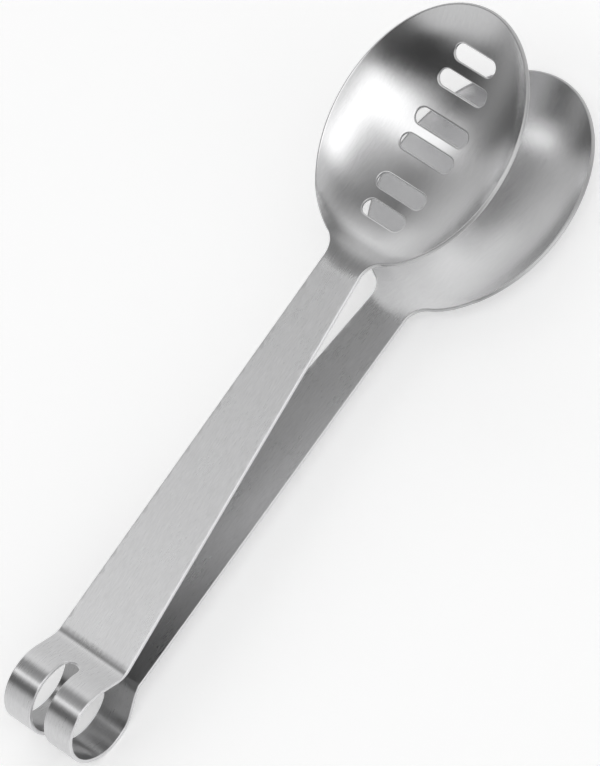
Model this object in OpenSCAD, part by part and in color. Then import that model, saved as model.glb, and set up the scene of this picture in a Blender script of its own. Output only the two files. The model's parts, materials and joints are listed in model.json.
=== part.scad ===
// Tea-bag squeezer tongs: one strip of spring steel, blanked, pressed and bent.
// The strip runs lower bowl, lower leg, lower shoulder, two loop hoops beside a slot,
// upper shoulder, upper leg, upper bowl. Each formed region is its own node.
// The row's origin is on the loop's axis. +X runs towards the bowls, +Y across the
// strip, +Z up, and the tongs lie on the loop and on the belly of the lower bowl.

/* [Strip] */
// Thickness of the steel
steel_t = 0.8; // [0.6:0.1:1.2]
// Width of the strip round the loop and at the creases
strip_w = 17.8; // [14:0.2:24]
// Width of each leg where it meets its bowl
neck_w = 9.4; // [7:0.2:12]

/* [Spring loop] */
// Outer diameter of the spring loop
loop_d = 17; // [13:0.2:22]
// Slope of the flat ramp from the loop down to the crease, in degrees
ramp_angle = 37; // [30:0.5:45]
// Length of the ramp from the loop to the crease
ramp_len = 5.6; // [5:0.1:8]
// Bend radius of the crease at mid-thickness
crease_r = 4; // [1.2:0.1:5]
// Width of the slot that splits the loop into two hoops
slot_w = 3.8; // [3:0.2:6]
// How far round the loop the slot's rounded ends sit past the ramps, in degrees
slot_end_angle = 1; // [1:1:20]

/* [Legs] */
// Length of each leg from the crease to the neck
leg_len = 87.5; // [70:0.5:110]
// Angle of each leg from the middle plane at rest, in degrees
leg_angle = 5.3; // [3.5:0.1:8]

/* [Bowls] */
// Length of each bowl over its rim
bowl_len = 53.2; // [44:0.2:60]
// Width of each bowl over its rim
bowl_w = 41; // [34:0.2:48]
// Depth of each bowl below its rim
bowl_depth = 6; // [4:0.5:9]
// Share of the ellipsoid's half-axes that the rim reaches: more is a flatter floor
bowl_fullness = 0.8; // [0.6:0.05:0.9]
// Fillet radius between a leg and its bowl
neck_fillet = 4.5; // [2:0.5:5]
// Angle of the upper bowl's rim above its leg, in degrees
upper_cant = 4.2; // [0:0.1:6]
// Angle of the lower bowl's rim above its leg, in degrees
lower_cant = 2.1; // [0:0.1:6]

/* [Drain slots] */
// Groups of slots along the upper bowl
drain_groups = 3; // [1:1:3]
// Distance between the groups
drain_group_pitch = 14.2; // [12:0.2:15]
// Distance between the slots of a group
drain_slot_pitch = 5.6; // [4.6:0.2:6.4]
// Width of each slot
drain_slot_w = 3.4; // [2:0.2:3.6]
// Length of a slot at the middle of the bowl
drain_slot_len = 13.4; // [8:0.2:18]

/* [Hidden] */
$fn = 96;

half_t = steel_t / 2;
loop_r = loop_d / 2 - half_t;

// The ramp leaves the loop along its tangent, at this angle round from +X.
ramp_start = 90 - ramp_angle;
slot_end = ramp_start + slot_end_angle;
crease_x = loop_r * sin(ramp_angle) + ramp_len * cos(ramp_angle);
crease_z = loop_r * cos(ramp_angle) - ramp_len * sin(ramp_angle);
crease_turn = ramp_angle + leg_angle;
crease_tangent = crease_r * tan(crease_turn / 2);
bend_centre = [crease_x + crease_tangent * cos(leg_angle) - crease_r * sin(leg_angle),
               crease_z + crease_tangent * sin(leg_angle) + crease_r * cos(leg_angle)];
bend_steps = 9;

neck_x = crease_x + leg_len * cos(leg_angle);
neck_z = crease_z + leg_len * sin(leg_angle);

rim_a = bowl_len / 2;
rim_b = bowl_w / 2;
rim_drop = sqrt(1 - pow(bowl_fullness, 2));
dome_c = bowl_depth / (1 - rim_drop);
dome_a = rim_a / bowl_fullness;
dome_b = rim_b / bowl_fullness;
dome_lift = dome_c * rim_drop;
// How much the sheared rim leans inwards for each millimetre of height.
rim_slope_x = dome_c / dome_a * bowl_fullness / rim_drop;
rim_slope_y = dome_c / dome_b * bowl_fullness / rim_drop;
rim_lean = sqrt(rim_slope_x * rim_slope_y * rim_b / rim_a);

// The fillets touch the rim where it is close to its end circle.
end_r = pow(rim_b, 2) / rim_a;
fillet_y = neck_w / 2 + neck_fillet;
fillet_run = sqrt(pow(end_r + neck_fillet, 2) - pow(fillet_y, 2));
bowl_start = fillet_run - end_r;
bowl_mid = bowl_start + rim_a;
web_x = fillet_run * neck_fillet / (end_r + neck_fillet);
web_y = fillet_y * end_r / (end_r + neck_fillet);

// The lower bowl's dome centre, and the tilt that sets the loop and the bowl on one plane.
lower_rim_angle = lower_cant - leg_angle;
dome_x = neck_x + bowl_mid * cos(lower_rim_angle) - dome_lift * sin(lower_rim_angle);
dome_z = -neck_z + bowl_mid * sin(lower_rim_angle) + dome_lift * cos(lower_rim_angle);
dome_far = norm([dome_x, dome_z]);
dome_bearing = atan2(dome_z, dome_x);
function belly(angle) =
    norm([(dome_a + half_t) * sin(angle), (dome_c + half_t) * cos(angle)]);
function settle(tilt, steps) =
    steps == 0 ? tilt :
    settle(asin((belly(lower_rim_angle + tilt) - loop_d / 2) / dome_far) - dome_bearing, steps - 1);
rest_tilt = settle(0, 12);

// How far cutting tools run past the metal.
slack = 1;

function arc(centre, radius, from, to) = [
    for (step = [0 : bend_steps])
        let (angle = from + (to - from) * step / bend_steps)
            centre + radius * [cos(angle), sin(angle)]
];

module steel() {
    color([0.78, 0.78, 0.79]) rotate([0, -rest_tilt, 0]) children();
}

// A curved length of strip about the Y axis, from one angle to another.
module curved_strip(radius, width, from, to) {
    rotate([90, 0, 0])
        rotate_extrude(angle = to - from, start = from)
            translate([radius - half_t, -width / 2])
                square([steel_t, width]);
}

// side is 1 for the upper arm and -1 for the lower arm.
module on_side(side) {
    if (side > 0) children();
    else mirror([0, 0, 1]) children();
}

// The side view of a shoulder: start of the loop, ramp and crease, out and back again.
module shoulder_profile() {
    polygon(concat(
        arc([0, 0], loop_r + half_t, slot_end, ramp_start),
        arc(bend_centre, crease_r - half_t, 270 - ramp_angle, 270 + leg_angle),
        arc(bend_centre, crease_r + half_t, 270 + leg_angle, 270 - ramp_angle),
        arc([0, 0], loop_r - half_t, ramp_start, slot_end)));
}

module shoulder(side) {
    steel() on_side(side) difference() {
        rotate([90, 0, 0]) translate([0, 0, -strip_w / 2])
            linear_extrude(strip_w) shoulder_profile();
        rotate([0, 90 - slot_end, 0]) translate([0, 0, loop_r - slack])
            cylinder(r = slot_w / 2, h = 2 * slack);
    }
}

module hoop(across) {
    hoop_w = (strip_w - slot_w) / 2;
    steel() translate([0, across * (slot_w + hoop_w) / 2, 0])
        curved_strip(loop_r, hoop_w, slot_end, 360 - slot_end);
}

module leg(side) {
    steel() on_side(side) translate([crease_x, 0, crease_z]) rotate([0, -leg_angle, 0])
        translate([0, 0, -half_t]) linear_extrude(steel_t)
            polygon([[crease_tangent, -strip_w / 2], [leg_len, -neck_w / 2],
                     [leg_len, neck_w / 2], [crease_tangent, strip_w / 2]]);
}

// The dome at mid-thickness, grown by the given amount.
module dome(grow) {
    translate([bowl_mid, 0, dome_lift])
        scale([dome_a + grow, dome_b + grow, dome_c + grow]) sphere(r = 1);
}

// The cone along which the rim is sheared, wide enough below for the whole bowl.
module rim_trim() {
    below = bowl_depth + slack;
    translate([bowl_mid, 0, 0]) scale([rim_a / rim_b, 1, 1]) translate([0, 0, -below])
        cylinder(r1 = rim_b + below * rim_lean, r2 = rim_b - slack * rim_lean, h = below + slack);
}

module neck_web() {
    translate([0, 0, -half_t]) linear_extrude(steel_t) difference() {
        translate([0, -web_y]) square([web_x, 2 * web_y]);
        for (across = [-1, 1])
            translate([0, across * fillet_y]) circle(r = neck_fillet);
    }
}

module bowl() {
    intersection() {
        difference() {
            dome(half_t);
            dome(-half_t);
        }
        rim_trim();
    }
    difference() {
        neck_web();
        dome(-half_t);
    }
}

// A round-ended slot across the bowl, cut straight down.
module drain_slot(x) {
    length = drain_slot_len * sqrt(1 - pow(x / rim_a, 2));
    ends = (length - drain_slot_w) / 2;
    translate([bowl_mid + x, 0, -bowl_depth - slack]) {
        translate([-drain_slot_w / 2, -ends, 0]) cube([drain_slot_w, 2 * ends, bowl_depth]);
        for (across = [-1, 1])
            translate([0, across * ends, 0]) cylinder(r = drain_slot_w / 2, h = bowl_depth);
    }
}

module drain_slots() {
    for (group = [0 : drain_groups - 1])
        for (pair = [-0.5, 0.5])
            drain_slot((group - (drain_groups - 1) / 2) * drain_group_pitch
                       + pair * drain_slot_pitch);
}

module upper_bowl() {
    steel() translate([neck_x, 0, neck_z]) rotate([0, -leg_angle - upper_cant, 0])
        difference() {
            bowl();
            drain_slots();
        }
}

module lower_bowl() {
    steel() translate([neck_x, 0, -neck_z]) rotate([0, -lower_rim_angle, 0]) bowl();
}

upper_bowl();
leg(1);  // upper_leg
shoulder(1);  // upper_shoulder
hoop(1);  // loop_hoop_left
hoop(-1);  // loop_hoop_right
shoulder(-1);  // lower_shoulder
leg(-1);  // lower_leg
lower_bowl();
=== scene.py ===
"""Tea-bag squeezer tongs: one bent strip of brushed stainless steel on a pale floor.

The strip is built as a thin sheet. A flat blank with its slots is drawn in the plane, meshed,
and then formed: rolled round the spring loop, creased, run out along the leg and pressed into
the bowl. Blank coordinates are (along, across) in millimetres; Blender's are metres.
"""
import json
import math

import bmesh
import bpy
import numpy as np
from mathutils import Matrix, Vector
from mathutils.geometry import delaunay_2d_cdt


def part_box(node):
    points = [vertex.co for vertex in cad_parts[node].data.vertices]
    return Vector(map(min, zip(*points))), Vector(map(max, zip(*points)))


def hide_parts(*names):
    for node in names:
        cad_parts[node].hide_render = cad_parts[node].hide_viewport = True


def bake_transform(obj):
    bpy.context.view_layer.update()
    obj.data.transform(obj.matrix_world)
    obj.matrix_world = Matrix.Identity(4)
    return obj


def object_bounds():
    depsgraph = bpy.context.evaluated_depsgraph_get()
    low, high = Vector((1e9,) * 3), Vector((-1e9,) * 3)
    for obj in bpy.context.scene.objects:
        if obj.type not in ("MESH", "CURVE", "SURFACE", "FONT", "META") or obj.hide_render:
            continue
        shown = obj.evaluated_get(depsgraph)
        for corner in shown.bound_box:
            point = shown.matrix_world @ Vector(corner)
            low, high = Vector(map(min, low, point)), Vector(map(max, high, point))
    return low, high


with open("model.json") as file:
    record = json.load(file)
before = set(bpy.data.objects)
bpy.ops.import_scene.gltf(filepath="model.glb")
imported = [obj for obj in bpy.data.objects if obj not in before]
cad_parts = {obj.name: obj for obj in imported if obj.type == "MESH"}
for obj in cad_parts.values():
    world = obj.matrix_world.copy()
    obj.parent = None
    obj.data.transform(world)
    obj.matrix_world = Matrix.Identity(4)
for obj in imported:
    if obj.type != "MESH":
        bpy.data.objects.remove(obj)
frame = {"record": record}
cad_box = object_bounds()

MM = 0.001

# ---------------------------------------------------------------- sizes of the formed strip

loop_mount, upper_face, lower_face = frame["record"]["mounts"]
hoop_low, hoop_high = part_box("loop_hoop_left")
STRIP_W = 2 * hoop_high[1] / MM
SLOT_W = 2 * hoop_low[1] / MM
LOOP_OUTER = -hoop_low[0] / MM
SHEET_T = LOOP_OUTER - loop_mount["dims"]["r_mm"]
HALF_T = SHEET_T / 2
LOOP_R = LOOP_OUTER - HALF_T


def lean_of(face):
    """How far a grip face's outward normal leans back towards the loop, in radians."""
    return math.atan2(-face["axis"][0], abs(face["axis"][2]))


LEG_ANGLE = (lean_of(upper_face) + lean_of(lower_face)) / 2
REST_TILT = (lean_of(upper_face) - lean_of(lower_face)) / 2
RAMP_ANGLE = math.radians(37)
RAMP_LEN = 5.6
CREASE_R = 4.0
SLOT_END = math.radians(1)
LEG_LEN = 87.5
NECK_W = 9.4
NECK_FILLET = 4.5

BOWL_A = 53.2 / 2
BOWL_B = 41.0 / 2
BOWL_DEPTH = 6.0
FULLNESS = 0.8
CANT = {1: math.radians(4.2), -1: math.radians(2.1)}

# How far the sheared edges are rounded and in how many steps, and how wide the ring of faces
# beside them is.
EDGE_R = 0.17
EDGE_STEPS = 3
SUPPORT = 0.16
# How far out along the legs the painted shade on the loop's inner face reaches before it fades
# away.
PAINTED_SHADE_RUN = 45.0

# The bend from the leg into the bowl: its softness, where that starts to fade and where it has
# died away, and how round the bend between the leg's plane and the rim's is.
NECK_SOFTNESS = 2.4
NECK_BEND_FADES = 4.0
NECK_BEND_ENDS = 11.0
CANT_ROUND = 1.0
# Keeps the bend's width above nothing where it has died away.
TINY = 1e-6

DOME_DROP = math.sqrt(1 - FULLNESS**2)
DOME_C = BOWL_DEPTH / (1 - DOME_DROP)
DOME_A = BOWL_A / FULLNESS
DOME_B = BOWL_B / FULLNESS
DOME_LIFT = DOME_C * DOME_DROP

CREASE_TURN = RAMP_ANGLE + LEG_ANGLE
CREASE_TANGENT = CREASE_R * math.tan(CREASE_TURN / 2)
CREASE_X = LOOP_R * math.sin(RAMP_ANGLE) + RAMP_LEN * math.cos(RAMP_ANGLE)
CREASE_Z = LOOP_R * math.cos(RAMP_ANGLE) - RAMP_LEN * math.sin(RAMP_ANGLE)
NECK_X = CREASE_X + LEG_LEN * math.cos(LEG_ANGLE)
NECK_Z = CREASE_Z + LEG_LEN * math.sin(LEG_ANGLE)

# Distances along the blank from the far side of the loop.
ARC_END = LOOP_R * (math.pi / 2 + RAMP_ANGLE)
RAMP_END = ARC_END + RAMP_LEN - CREASE_TANGENT
BEND_END = RAMP_END + CREASE_R * CREASE_TURN
NECK_AT = BEND_END + LEG_LEN - CREASE_TANGENT
SLOT_CENTRE = ARC_END - LOOP_R * SLOT_END
# Where the leg's flat gives way to the neck's bend.
NECK_START = NECK_AT - 6.0

# Fillets between leg and bowl: circles that touch the leg's edge and the rim's end circle.
END_R = BOWL_B**2 / BOWL_A
FILLET_Y = NECK_W / 2 + NECK_FILLET
FILLET_RUN = math.sqrt((END_R + NECK_FILLET) ** 2 - FILLET_Y**2)
BOWL_MID = FILLET_RUN - END_R + BOWL_A
TOUCH_Y = FILLET_Y * END_R / (END_R + NECK_FILLET)

# Drain slots.
DRAIN_GROUPS = 3
DRAIN_GROUP_PITCH = 14.2
DRAIN_SLOT_PITCH = 5.6
DRAIN_SLOT_W = 3.4
DRAIN_SLOT_LEN = 13.4


# ---------------------------------------------------------------- forming the blank

def dome_height(x, y):
    """Height of the bowl's mid-surface over its rim plane, x from the neck."""
    q = 1 - ((x - BOWL_MID) / DOME_A) ** 2 - (y / DOME_B) ** 2
    return DOME_LIFT - DOME_C * np.sqrt(np.maximum(q, 0.0))


def smooth(x, start, end):
    t = np.clip((x - start) / (end - start), 0.0, 1.0)
    return t * t * (3 - 2 * t)


def bowl_height(x, y, cant):
    """The leg's plane and the dome, joined by a soft bend at the neck."""
    leg = (np.sqrt(x * x + CANT_ROUND**2) - x) / 2 * math.tan(cant)
    dome = dome_height(x, y)
    soft = NECK_SOFTNESS * (1 - smooth(x, NECK_BEND_FADES, NECK_BEND_ENDS)) + TINY
    overlap = np.maximum(soft - np.abs(dome - leg), 0.0) / soft
    return np.minimum(dome, leg) - overlap**2 * soft / 4


def strip_line(along):
    """Loop, ramp, crease and leg of the upper arm: x and z, and the outer normal's x and z."""
    x, z, nx, nz = (np.zeros_like(along) for _ in range(4))

    rolled = along <= ARC_END
    turn = math.pi - along[rolled] / LOOP_R
    nx[rolled], nz[rolled] = np.cos(turn), np.sin(turn)
    x[rolled], z[rolled] = LOOP_R * nx[rolled], LOOP_R * nz[rolled]

    ramp = (along > ARC_END) & (along <= RAMP_END)
    run = along[ramp] - ARC_END
    nx[ramp], nz[ramp] = math.sin(RAMP_ANGLE), math.cos(RAMP_ANGLE)
    x[ramp] = LOOP_R * math.sin(RAMP_ANGLE) + run * math.cos(RAMP_ANGLE)
    z[ramp] = LOOP_R * math.cos(RAMP_ANGLE) - run * math.sin(RAMP_ANGLE)

    bend = (along > RAMP_END) & (along <= BEND_END)
    lean = RAMP_ANGLE - (along[bend] - RAMP_END) / CREASE_R
    nx[bend], nz[bend] = np.sin(lean), np.cos(lean)
    centre_x = CREASE_X + CREASE_TANGENT * math.cos(LEG_ANGLE) - CREASE_R * math.sin(LEG_ANGLE)
    centre_z = CREASE_Z + CREASE_TANGENT * math.sin(LEG_ANGLE) + CREASE_R * math.cos(LEG_ANGLE)
    x[bend], z[bend] = centre_x - CREASE_R * nx[bend], centre_z - CREASE_R * nz[bend]

    leg = (along > BEND_END) & (along <= NECK_START)
    run = along[leg] - BEND_END + CREASE_TANGENT
    nx[leg], nz[leg] = -math.sin(LEG_ANGLE), math.cos(LEG_ANGLE)
    x[leg] = CREASE_X + run * math.cos(LEG_ANGLE)
    z[leg] = CREASE_Z + run * math.sin(LEG_ANGLE)
    return x, z, nx, nz


def bowl_surface(along, across, side):
    """Neck and bowl of either arm: x and z, and the outer normal's x, y and z."""
    cant = CANT[side]
    rim = side * LEG_ANGLE + cant
    run = along - NECK_AT
    run = np.where(run < 0, run * math.cos(cant), run)
    step = 1e-3
    up = bowl_height(run, across, cant)
    slope_x = (bowl_height(run + step, across, cant)
               - bowl_height(run - step, across, cant)) / (2 * step)
    slope_y = (bowl_height(run, across + step, cant)
               - bowl_height(run, across - step, cant)) / (2 * step)
    size = np.sqrt(slope_x**2 + slope_y**2 + 1)
    return (NECK_X + run * math.cos(rim) - up * math.sin(rim),
            side * NECK_Z + run * math.sin(rim) + up * math.cos(rim),
            side * (-slope_x * math.cos(rim) - math.sin(rim)) / size,
            side * -slope_y / size,
            side * (-slope_x * math.sin(rim) + math.cos(rim)) / size)


def form(points, offset, side):
    """Blank points (along, across), raised by offset on the outer face, as row-frame metres."""
    along, across = points[:, 0], points[:, 1]
    x, z, nx, nz = strip_line(along)
    z, nz, ny = side * z, side * nz, np.zeros_like(along)
    bowl = along > NECK_START
    x[bowl], z[bowl], nx[bowl], ny[bowl], nz[bowl] = bowl_surface(along[bowl], across[bowl], side)

    x, y, z = x + offset * nx, across + offset * ny, z + offset * nz
    cos, sin = math.cos(REST_TILT), math.sin(REST_TILT)
    return np.stack([x * cos - z * sin, y, x * sin + z * cos], axis=1) * MM


# ---------------------------------------------------------------- outlines of the blank

def line(start, end, spacing):
    count = max(1, round(math.dist(start, end) / spacing))
    return [tuple(np.array(start) + (np.array(end) - np.array(start)) * i / count)
            for i in range(count + 1)]


def arc(centre, radius, start, end, steps):
    """Points on an arc, with a radius each way, start and end in degrees."""
    rx, ry = radius if isinstance(radius, tuple) else (radius, radius)
    angles = np.radians(np.linspace(start, end, steps + 1))
    return [(centre[0] + rx * math.cos(a), centre[1] + ry * math.sin(a)) for a in angles]


def join(*runs):
    """One chain from several, without the repeated points where they meet."""
    chain = list(runs[0])
    for run in runs[1:]:
        chain += run[1:]
    return chain


# Spacing of the mesh's points along each part of the strip, and across it, in millimetres.
LOOP_STEP = LOOP_R * math.radians(3)
RAMP_STEP = 0.9
BEND_STEP = 0.25
LEG_STEP = 2.0
BOWL_STEP = 0.85
ACROSS_STEP = 1.3
CUT_STEP = 0.9
SLOT_STEP = 0.7
# Where the first row of points lies past the start of each part.
FIRST_RAMP_ROW, FIRST_BEND_ROW, FIRST_LEG_ROW = 0.5, 0.1, 0.8
# Rows closer than their points make the triangles nearly equal-sided.
ROW_SHARE = 0.87
# How near an edge a point of the grid may lie, as a share of the spacing.
CLEAR_SHARE = 0.55
# Steps round each neck fillet, half the rim, the loop slot's end and each drain slot's end.
FILLET_STEPS, RIM_STEPS, SLOT_END_STEPS, DRAIN_END_STEPS = 14, 130, 24, 16
# A narrow first row keeps the shading level across the seam at the loop's far side.
SEAM_ROW = 0.15


def arm_chains():
    """One arm's outline, material on its left: its sheared edges and its two cut ends."""
    half, slot, neck = STRIP_W / 2, SLOT_W / 2, NECK_W / 2
    touch = math.degrees(math.atan2(FILLET_Y, FILLET_RUN))
    rim_start = math.degrees(math.asin(TOUCH_Y / BOWL_B))
    near = join(line((0, -half), (SEAM_ROW, -half), SEAM_ROW),
                line((SEAM_ROW, -half), (ARC_END, -half), LOOP_STEP),
                line((ARC_END, -half), (RAMP_END, -half), RAMP_STEP),
                line((RAMP_END, -half), (BEND_END, -half), BEND_STEP),
                line((BEND_END, -half), (NECK_AT, -neck), LEG_STEP),
                arc((NECK_AT, -FILLET_Y), NECK_FILLET, 90, touch, FILLET_STEPS),
                arc((NECK_AT + BOWL_MID, 0), (BOWL_A, BOWL_B), 180 + rim_start, 360, RIM_STEPS))
    far = [(a, -b) for a, b in reversed(near)]
    slot_edge = join(line((0, slot), (SEAM_ROW, slot), SEAM_ROW),
                     line((SEAM_ROW, slot), (SLOT_CENTRE, slot), LOOP_STEP),
                     arc((SLOT_CENTRE, 0), slot, 90, -90, SLOT_END_STEPS),
                     line((SLOT_CENTRE, -slot), (SEAM_ROW, -slot), LOOP_STEP),
                     line((SEAM_ROW, -slot), (0, -slot), SEAM_ROW))
    return [("edge", join(near, far)), ("cut", line((0, half), (0, slot), CUT_STEP)),
            ("edge", slot_edge), ("cut", line((0, -slot), (0, -half), CUT_STEP))]


def drain_slots():
    """Outlines of the upper bowl's drain slots, material on the left."""
    loops = []
    for group in range(DRAIN_GROUPS):
        for pair in (-0.5, 0.5):
            at = (group - (DRAIN_GROUPS - 1) / 2) * DRAIN_GROUP_PITCH + pair * DRAIN_SLOT_PITCH
            length = DRAIN_SLOT_LEN * math.sqrt(1 - (at / BOWL_A) ** 2)
            x, half, ends = NECK_AT + BOWL_MID + at, DRAIN_SLOT_W / 2, (length - DRAIN_SLOT_W) / 2
            loops.append(join(arc((x, ends), half, 180, 0, DRAIN_END_STEPS),
                              line((x + half, ends), (x + half, -ends), SLOT_STEP),
                              arc((x, -ends), half, 0, -180, DRAIN_END_STEPS),
                              line((x - half, -ends), (x - half, ends), SLOT_STEP))[:-1])
    return loops


# ---------------------------------------------------------------- meshing and thickening

def outward(points, closed):
    """Unit normals of a chain, away from the material on its left."""
    points = np.array(points)
    if closed:
        step = np.roll(points, -1, axis=0) - np.roll(points, 1, axis=0)
    else:
        step = np.gradient(points, axis=0)
    normal = np.stack([step[:, 1], -step[:, 0]], axis=1)
    if not closed:
        # At a cut the edge is drawn back along the cut itself.
        for end in (0, -1):
            normal[end] = (0.0, np.sign(normal[end, 1]))
    return normal / np.linalg.norm(normal, axis=1)[:, None]


def inside(points, loops):
    """Which points lie inside an odd number of the loops."""
    odd = np.zeros(len(points), bool)
    for loop in loops:
        a = np.array(loop)
        b = np.roll(a, -1, axis=0)
        for (ax, ay), (bx, by) in zip(a, b):
            if ay == by:
                continue
            crosses = (ay > points[:, 1]) != (by > points[:, 1])
            odd ^= crosses & (points[:, 0] < (bx - ax) * (points[:, 1] - ay) / (by - ay) + ax)
    return odd


def clear_of(points, loops, gap):
    """Which points stay farther than gap from every outline point."""
    outline = np.concatenate([np.array(loop) for loop in loops])
    far = np.ones(len(points), bool)
    batch = 500
    for start in range(0, len(points), batch):
        part = points[start:start + batch, None, :] - outline[None]
        far[start:start + batch] = np.sqrt((part**2).sum(2)).min(axis=1) > gap
    return far


def grid(stations, spacing, loops):
    """Staggered points across the blank at each station, clear of its edges."""
    gap = CLEAR_SHARE * spacing
    points = []
    for index, along in enumerate(stations):
        count = int(BOWL_B / spacing)
        shift = 0.5 * (index % 2)
        points += [(along, (k + shift) * spacing) for k in range(-count, count + 1)]
    points = np.array(points)
    points = points[inside(points, loops)]
    return points[clear_of(points, loops, gap)]


def strip_stations():
    return np.concatenate([[SEAM_ROW], np.arange(LOOP_STEP, ARC_END, LOOP_STEP),
                           np.arange(ARC_END + FIRST_RAMP_ROW, RAMP_END, RAMP_STEP),
                           np.arange(RAMP_END + FIRST_BEND_ROW, BEND_END, BEND_STEP),
                           np.arange(BEND_END + FIRST_LEG_ROW, NECK_START, LEG_STEP)])


def bowl_stations():
    return np.arange(NECK_START, NECK_AT + BOWL_MID + BOWL_A, BOWL_STEP * ROW_SHARE)


def lay_out(chains, holes):
    """The blank's points, its outlines as point numbers and as loops, and its sheared edges."""
    base, edge_runs, outlines = [], [], [[]]

    def add(points):
        base.extend([tuple(p) for p in points])
        return list(range(len(base) - len(points), len(base)))

    def add_edge(chain, closed):
        """The faces stop short of the true outline by the edge radius."""
        normals = outward(chain, closed)
        ids = add(np.array(chain) - EDGE_R * normals)
        edge_runs.append((ids, np.array(chain), normals, closed))
        return ids

    for kind, chain in chains:
        outlines[0] += add_edge(chain, False) if kind == "edge" else add(chain[1:-1])
    outlines += [add_edge(hole, True) for hole in holes]
    loops = [[base[i] for i in ids] for ids in outlines]

    # A ring of points just inside every edge keeps the faces' shading flat up to it.
    for _, chain, normals, closed in edge_runs:
        part = slice(None) if closed else slice(1, -1)
        support = (chain - (EDGE_R + SUPPORT) * normals)[part]
        add(support[inside(support, loops)])
    add(grid(strip_stations(), ACROSS_STEP, loops))
    add(grid(bowl_stations(), BOWL_STEP, loops))
    return base, outlines, loops, edge_runs


def triangulate(base, outlines, loops):
    """The flat points, the triangles inside the outlines, and where each base point went."""
    weld = 1e-7
    edges = [(ids[k], ids[(k + 1) % len(ids)]) for ids in outlines for k in range(len(ids))]
    points, _, faces, origin, _, _ = delaunay_2d_cdt([Vector(p) for p in base], edges, [], 1, weld)
    where = {old: new for new, group in enumerate(origin) for old in group}
    flat = np.array([tuple(p) for p in points])
    centres = np.array([flat[list(f)].mean(axis=0) for f in faces])
    return flat, [tuple(f) for f, kept in zip(faces, inside(centres, loops)) if kept], where


def edge_profile():
    """Inset and height of the rows round a sheared edge, from the outer face to the inner."""
    profile = []
    for k in range(1, EDGE_STEPS + 1):
        turn = math.pi / 2 * k / EDGE_STEPS
        profile.append((EDGE_R * (1 - math.sin(turn)), HALF_T - EDGE_R * (1 - math.cos(turn))))
    return profile + [(inset, -height) for inset, height in reversed(profile)]


def thicken(flat, faces, where, edge_runs, side):
    """Both faces and the rounded edges: the vertices with their marks, and the polygons."""
    count = len(flat)
    plain = np.zeros(count)
    vertices = [form(flat, HALF_T, side), form(flat, -HALF_T, side)]
    blank, sheared = [flat, flat], [plain, plain]
    # Painted shade: the inner face is marked dark in the loop, fading out along the legs.
    painted_inner_shade = [plain, 1 - smooth(flat[:, 0], BEND_END, BEND_END + PAINTED_SHADE_RUN)]
    polygons = faces + [tuple(i + count for i in reversed(f)) for f in faces]
    total = 2 * count
    for ids, chain, normals, closed in edge_runs:
        rows = [[where[i] for i in ids]]
        for inset, height in edge_profile():
            drawn = chain - inset * normals
            vertices.append(form(drawn, height, side))
            blank.append(drawn)
            sheared.append(np.ones(len(drawn)))
            painted_inner_shade.append(np.zeros(len(drawn)))
            rows.append(list(range(total, total + len(drawn))))
            total += len(drawn)
        rows.append([where[i] + count for i in ids])
        for row, below in zip(rows, rows[1:]):
            for k in range(len(ids) if closed else len(ids) - 1):
                after = (k + 1) % len(ids)
                polygons.append((row[k], below[k], below[after], row[after]))
    return [np.concatenate(part) for part in (vertices, blank, sheared, painted_inner_shade)], polygons


def sheet(name, side, chains, holes):
    """A closed solid of sheet steel from a blank, with rounded edges, as a new object."""
    base, outlines, loops, edge_runs = lay_out(chains, holes)
    flat, faces, where = triangulate(base, outlines, loops)
    (vertices, blank, sheared, painted_inner_shade), polygons = thicken(flat, faces, where, edge_runs, side)

    mesh = bpy.data.meshes.new(name)
    mesh.from_pydata(vertices.tolist(), [], polygons)
    mesh.validate()
    built = bmesh.new()
    built.from_mesh(mesh)
    built.verts.ensure_lookup_table()
    used = built.verts.layers.float_vector.new("blank")
    edge_mark = built.verts.layers.float.new("sheared")
    inner_shade_mark = built.verts.layers.float.new("painted_inner_shade")
    for vertex in built.verts:
        vertex[used] = (*blank[vertex.index], 0.0)
        vertex[edge_mark] = sheared[vertex.index]
        vertex[inner_shade_mark] = painted_inner_shade[vertex.index]
    loose = [v for v in built.verts if not v.link_faces]
    bmesh.ops.delete(built, geom=loose, context="VERTS")
    close_ends(built)
    uv = built.loops.layers.uv.new("strip")
    for face in built.faces:
        face.smooth = True
        for loop in face.loops:
            loop[uv].uv = loop.vert[used][:2]
    built.to_mesh(mesh)
    built.free()
    obj = bpy.data.objects.new(name, mesh)
    bpy.context.scene.collection.objects.link(obj)
    return obj


def close_ends(built):
    """Flat faces over the two cut ends, with sharp edges round them."""
    open_edges = [e for e in built.edges if e.is_boundary]
    for edge in open_edges:
        edge.smooth = False
    bmesh.ops.holes_fill(built, edges=open_edges, sides=0)
    bmesh.ops.recalc_face_normals(built, faces=built.faces)


upper = sheet("upper_arm_strip", 1, arm_chains(), drain_slots())
lower = sheet("lower_arm_strip", -1, arm_chains(), [])

# ---------------------------------------------------------------- materials

STEEL = (0.64, 0.64, 0.645)
# Roughness of the brushed legs and loop, the pressed bowls and the sheared edges.
LEG_ROUGH, BOWL_ROUGH, EDGE_ROUGH = 0.29, 0.20, 0.36
# Marks of the finish: lines per millimetre along and across the strip, and the noise's detail
# and roughness.
STREAKS = ((0.30, 3.4), 3.0, 0.6)
HAIRS = ((0.8, 9.0), 2.0, 0.5)
CLOUD = ((0.10, 0.16), 3.0, 0.5)
# Brightness against the steel's own: the darkest and palest streaks, the sheared edges on the legs
# and at the rims, and the painted shade on the loop's inner face.
DARK_STREAK, PALE_STREAK = 0.84, 1.13
LEG_EDGE, RIM_EDGE = 1.15, 0.80
INNER_SHADE_TINT = 0.62
# How much of the streaks' colour pressing takes away, and how deep they are before and after.
STREAKS_LOST = 0.5
LEG_BUMP, BOWL_BUMP, BUMP_DEPTH = 0.22, 0.12, 4e-5
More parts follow.
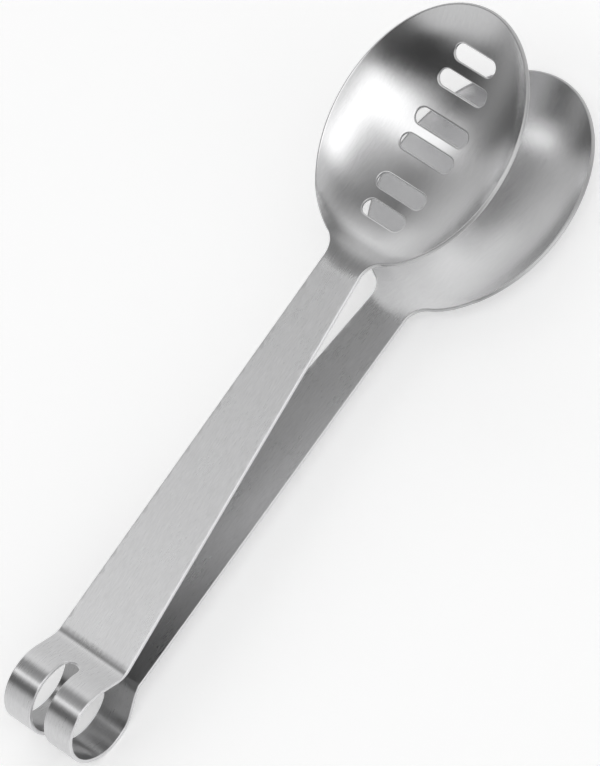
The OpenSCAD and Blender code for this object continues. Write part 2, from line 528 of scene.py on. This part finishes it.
# How far the cloud and the streaks swing the roughness each way.
CLOUD_SWING, STREAK_SWING = 0.02, 0.03
# How far reflections are drawn out, and the turn from the tangent to that direction.
ANISOTROPY, ACROSS_THE_STRIP = 0.75, 0.25
# Where brushed turns to pressed, before and after the neck.
PRESSED_FROM, PRESSED_TO = NECK_AT - 4, NECK_AT + 6


def node(tree, kind, inputs=None, **settings):
    made = tree.nodes.new(kind)
    for name, value in settings.items():
        setattr(made, name, value)
    for name, value in (inputs or {}).items():
        if isinstance(value, bpy.types.NodeSocket):
            tree.links.new(value, made.inputs[name])
        else:
            made.inputs[name].default_value = value
    return made


def strip_uv(tree):
    return node(tree, "ShaderNodeUVMap", uv_map="strip").outputs["UV"]


def grain(tree, scale, detail, roughness):
    """Noise over the blank, with its own scale along and across the strip, in lines per mm."""
    stretched = node(tree, "ShaderNodeMapping", {"Vector": strip_uv(tree),
                                                 "Scale": (scale[0], scale[1], 1.0)})
    noise = node(tree, "ShaderNodeTexNoise", {"Vector": stretched.outputs["Vector"], "Scale": 1.0,
                                              "Detail": detail, "Roughness": roughness})
    return noise.outputs["Fac"]


def spread(tree, value, low, high):
    """The middle half of a noise, stretched from low to high."""
    return node(tree, "ShaderNodeMapRange", {"Value": value, "From Min": 0.25, "From Max": 0.75,
                                             "To Min": low, "To Max": high}).outputs["Result"]


def between(tree, share, low, high):
    """A value from low to high, by a share from none to one."""
    return node(tree, "ShaderNodeMapRange", {"Value": share, "To Min": low,
                                             "To Max": high}).outputs["Result"]


def mix(tree, share, first, second, **settings):
    """One colour turning into another. Plain numbers are shades of the steel's own colour."""
    first, second = [(*[c * value for c in STEEL], 1) if isinstance(value, float) else value
                     for value in (first, second)]
    return node(tree, "ShaderNodeMix", {"Factor": share, "A": first, "B": second},
                data_type="RGBA", **settings).outputs[2]


def plus(tree, first, second):
    return node(tree, "ShaderNodeMath", {0: first, 1: second}, operation="ADD").outputs[0]


def mark(tree, name):
    return node(tree, "ShaderNodeAttribute", attribute_name=name).outputs["Fac"]


def brushing_of(tree):
    """Short streaks along the strip with finer hairs between them."""
    both = plus(tree, grain(tree, *STREAKS), grain(tree, *HAIRS))
    return node(tree, "ShaderNodeMath", {0: both, 1: 0.5}, operation="MULTIPLY").outputs[0]


def pressed_of(tree):
    """None on the legs and loop, one in the bowls."""
    along = node(tree, "ShaderNodeSeparateXYZ", {"Vector": strip_uv(tree)}).outputs["X"]
    return node(tree, "ShaderNodeMapRange", {"Value": along, "From Min": PRESSED_FROM,
                                             "From Max": PRESSED_TO},
                interpolation_type="SMOOTHSTEP").outputs["Result"]


def steel_colour(tree, brushing, pressed, edge):
    streaky = mix(tree, spread(tree, brushing, 0.0, 1.0), DARK_STREAK, PALE_STREAK)
    face = mix(tree, between(tree, pressed, 0.0, STREAKS_LOST), streaky, 1.0)
    # Painted shade: a darker tint over the loop's inner face and the start of the legs.
    shaded = mix(tree, mark(tree, "painted_inner_shade"), face, (INNER_SHADE_TINT, INNER_SHADE_TINT, INNER_SHADE_TINT, 1),
                 blend_type="MULTIPLY")
    return mix(tree, edge, shaded, mix(tree, pressed, LEG_EDGE, RIM_EDGE))


def steel_roughness(tree, brushing, pressed, edge):
    cloud = spread(tree, grain(tree, *CLOUD), -CLOUD_SWING, CLOUD_SWING)
    patchy = plus(tree, between(tree, pressed, LEG_ROUGH, BOWL_ROUGH), cloud)
    face = plus(tree, patchy, spread(tree, brushing, -STREAK_SWING, STREAK_SWING))
    return between(tree, edge, face, EDGE_ROUGH)


def steel(name):
    """Brushed along the strip on the legs, smoother in the pressed bowls, dull on sheared edges."""
    material = bpy.data.materials.new(name)
    material.use_nodes = True
    tree = material.node_tree
    tree.nodes.clear()
    brushing, pressed, edge = brushing_of(tree), pressed_of(tree), mark(tree, "sheared")
    bump = node(tree, "ShaderNodeBump", {"Height": brushing, "Distance": BUMP_DEPTH,
                                         "Strength": between(tree, pressed, LEG_BUMP, BOWL_BUMP)})
    tangent = node(tree, "ShaderNodeTangent", direction_type="UV_MAP", uv_map="strip")
    shader = node(tree, "ShaderNodeBsdfPrincipled",
                  {"Base Color": steel_colour(tree, brushing, pressed, edge), "Metallic": 1.0,
                   "Roughness": steel_roughness(tree, brushing, pressed, edge),
                   "Anisotropic": ANISOTROPY, "Anisotropic Rotation": ACROSS_THE_STRIP,
                   "Normal": bump.outputs["Normal"], "Tangent": tangent.outputs["Tangent"]})
    node(tree, "ShaderNodeOutputMaterial", {"Surface": shader.outputs["BSDF"]})
    return material


finish = steel("strip_finish")
for piece in (upper, lower):
    piece.data.materials.append(finish)

# ---------------------------------------------------------------- the strips in place of the CAD parts

for piece, arm, side in ((upper, "upper_arm", 1), (lower, "lower_arm", -1)):
    seam, ramp_top = form(np.array([(0.0, 0.0), (ARC_END, 0.0)]), 0.0, side)
    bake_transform(piece)
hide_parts("upper_bowl", "upper_leg", "upper_shoulder", "loop_hoop_left")
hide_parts("lower_bowl", "lower_leg", "lower_shoulder", "loop_hoop_right")

# ---------------------------------------------------------------- floor, light and camera

FLOOR_REACH = 6.0
PAPER = 0.93
PAPER_ROUGH = 0.9
PAPER_GLOW = 0.27


def paper():
    """Matt white paper that glows a little, as a lit backdrop does."""
    material = bpy.data.materials.new("paper")
    material.use_nodes = True
    sockets = material.node_tree.nodes["Principled BSDF"].inputs
    sockets["Base Color"].default_value = (PAPER, PAPER, PAPER, 1)
    sockets["Roughness"].default_value = PAPER_ROUGH
    sockets["Emission Color"].default_value = (1.0, 1.0, 1.0, 1)
    sockets["Emission Strength"].default_value = PAPER_GLOW
    return material


def floor_under(height):
    mesh = bpy.data.meshes.new("floor")
    corners = [(-1, -1), (1, -1), (1, 1), (-1, 1)]
    mesh.from_pydata([(x * FLOOR_REACH, y * FLOOR_REACH, height) for x, y in corners], [],
                     [(0, 1, 2, 3)])
    mesh.materials.append(paper())
    made = bpy.data.objects.new("floor", mesh)
    bpy.context.scene.collection.objects.link(made)
    return made


floor = floor_under(cad_box[0][2])

# How bright the studio is by direction. Each row holds, for one lean towards +Y, the
# brightness at a list of leans towards +X.
STUDIO = [
    (-0.95, [(-1.0, 0.75), (-0.50, 0.35), (-0.10, 1.2), (0.20, 1.3), (0.55, 0.40), (1.0, 0.80)]),
    (-0.62, [(-1.0, 0.75), (-0.60, 0.15), (-0.30, 0.90), (0.10, 1.2), (0.45, 0.45), (1.0, 0.70)]),
    (-0.38, [(-1.0, 0.80), (-0.82, 0.70), (-0.76, 0.15), (-0.56, 0.05), (-0.49, 0.20),
             (-0.42, 1.9), (0.06, 2.2), (0.24, 0.85), (0.5, 0.80), (1.0, 0.80)]),
    (0.0, [(-1.0, 0.86), (-0.80, 0.82), (-0.71, 0.05), (-0.53, 0.03), (-0.46, 0.65),
           (-0.38, 1.9), (-0.30, 1.8), (-0.12, 0.72), (0.04, 0.42), (0.24, 0.26),
           (0.50, 0.55), (1.0, 0.90)]),
    (0.58, [(-1.0, 0.86), (-0.76, 0.80), (-0.63, 0.09), (-0.40, 0.07), (-0.32, 0.85),
            (-0.26, 1.90), (-0.21, 1.40), (-0.16, 0.38), (-0.08, 0.24), (0.0, 0.24),
            (0.08, 0.17), (0.20, 0.20), (0.30, 0.70), (0.42, 1.15), (0.60, 0.95),
            (0.85, 0.80), (1.0, 0.85)]),
    (0.80, [(-1.0, 0.60), (-0.60, 0.42), (-0.30, 0.36), (-0.18, 0.60), (-0.05, 0.52),
            (0.10, 0.60), (0.24, 0.95), (0.45, 1.0), (1.0, 0.85)]),
    (0.94, [(-1.0, 0.50), (-0.45, 0.26), (-0.36, 0.14), (-0.23, 0.13), (-0.14, 0.60),
            (0.10, 0.75), (1.0, 0.80)]),
]
# Brighter than any level above, so that each row's ramp stays between none and one.
BRIGHTEST = 3.0


def studio_row(tree, lean, stops):
    """Brightness along one row, as a share of the brightest."""
    share = node(tree, "ShaderNodeMapRange", {"Value": lean, "From Min": -1.0,
                                              "From Max": 1.0}).outputs["Result"]
    ramp = node(tree, "ShaderNodeValToRGB", {"Fac": share})
    ramp.color_ramp.interpolation = "EASE"
    elements = ramp.color_ramp.elements
    while len(elements) > 1:
        elements.remove(elements[-1])
    elements[0].position = (stops[0][0] + 1) / 2
    elements[0].color = (*[stops[0][1] / BRIGHTEST] * 3, 1)
    for at, level in stops[1:]:
        elements.new((at + 1) / 2).color = (*[level / BRIGHTEST] * 3, 1)
    return ramp.outputs["Color"]


def studio(world):
    """Soft surroundings with broad softboxes overhead, drawn by direction."""
    world.use_nodes = True
    tree = world.node_tree
    tree.nodes.clear()
    toward = node(tree, "ShaderNodeTexCoord").outputs["Generated"]
    lean = node(tree, "ShaderNodeSeparateXYZ", {"Vector": toward})
    level = studio_row(tree, lean.outputs["X"], STUDIO[0][1])
    for (row_from, _), (row_to, stops) in zip(STUDIO, STUDIO[1:]):
        cover = node(tree, "ShaderNodeMapRange", {"Value": lean.outputs["Y"],
                                                  "From Min": row_from, "From Max": row_to},
                     interpolation_type="SMOOTHSTEP").outputs["Result"]
        level = node(tree, "ShaderNodeMix", {"Factor": cover, "A": level,
                                             "B": studio_row(tree, lean.outputs["X"], stops)},
                     data_type="FLOAT").outputs[0]
    level = node(tree, "ShaderNodeMath", {0: level, 1: BRIGHTEST}, operation="MULTIPLY").outputs[0]
    glow = node(tree, "ShaderNodeBackground", {"Color": level, "Strength": 1.0})
    node(tree, "ShaderNodeOutputWorld", {"Surface": glow.outputs["Background"]})


world = bpy.data.worlds.new("studio")
bpy.context.scene.world = world
studio(world)
bpy.context.scene.view_settings.view_transform = "Standard"

# The camera looks down on the tongs from the loop's side, rolled so they run up to the right.
AZIMUTH, ELEVATION, ROLL = math.radians(-15.2), math.radians(57.2), math.radians(-38.9)
VIEW_DISTANCE = 1.6
VIEW_HEIGHT = 0.14453
AIM_RIGHT, AIM_UP = 0.00366, -0.00129
SENSOR = 36.0
FARTHEST_SEEN = 20.0


def place_camera():
    back = Vector((math.sin(AZIMUTH) * math.cos(ELEVATION),
                   -math.cos(AZIMUTH) * math.cos(ELEVATION), math.sin(ELEVATION)))
    level_right = (-back).cross(Vector((0, 0, 1))).normalized()
    right = Matrix.Rotation(ROLL, 3, back) @ level_right
    up = back.cross(right)
    aim = (cad_box[0] + cad_box[1]) / 2 + right * AIM_RIGHT + up * AIM_UP
    camera = bpy.data.objects.new("camera", bpy.data.cameras.new("camera"))
    camera.matrix_world = Matrix.Translation(aim + back * VIEW_DISTANCE) @ Matrix(
        (right, up, back)).transposed().to_4x4()
    camera.data.sensor_width = SENSOR
    camera.data.lens = SENSOR * VIEW_DISTANCE / VIEW_HEIGHT
    camera.data.clip_end = FARTHEST_SEEN
    bpy.context.scene.collection.objects.link(camera)
    bpy.context.scene.camera = camera


place_camera()
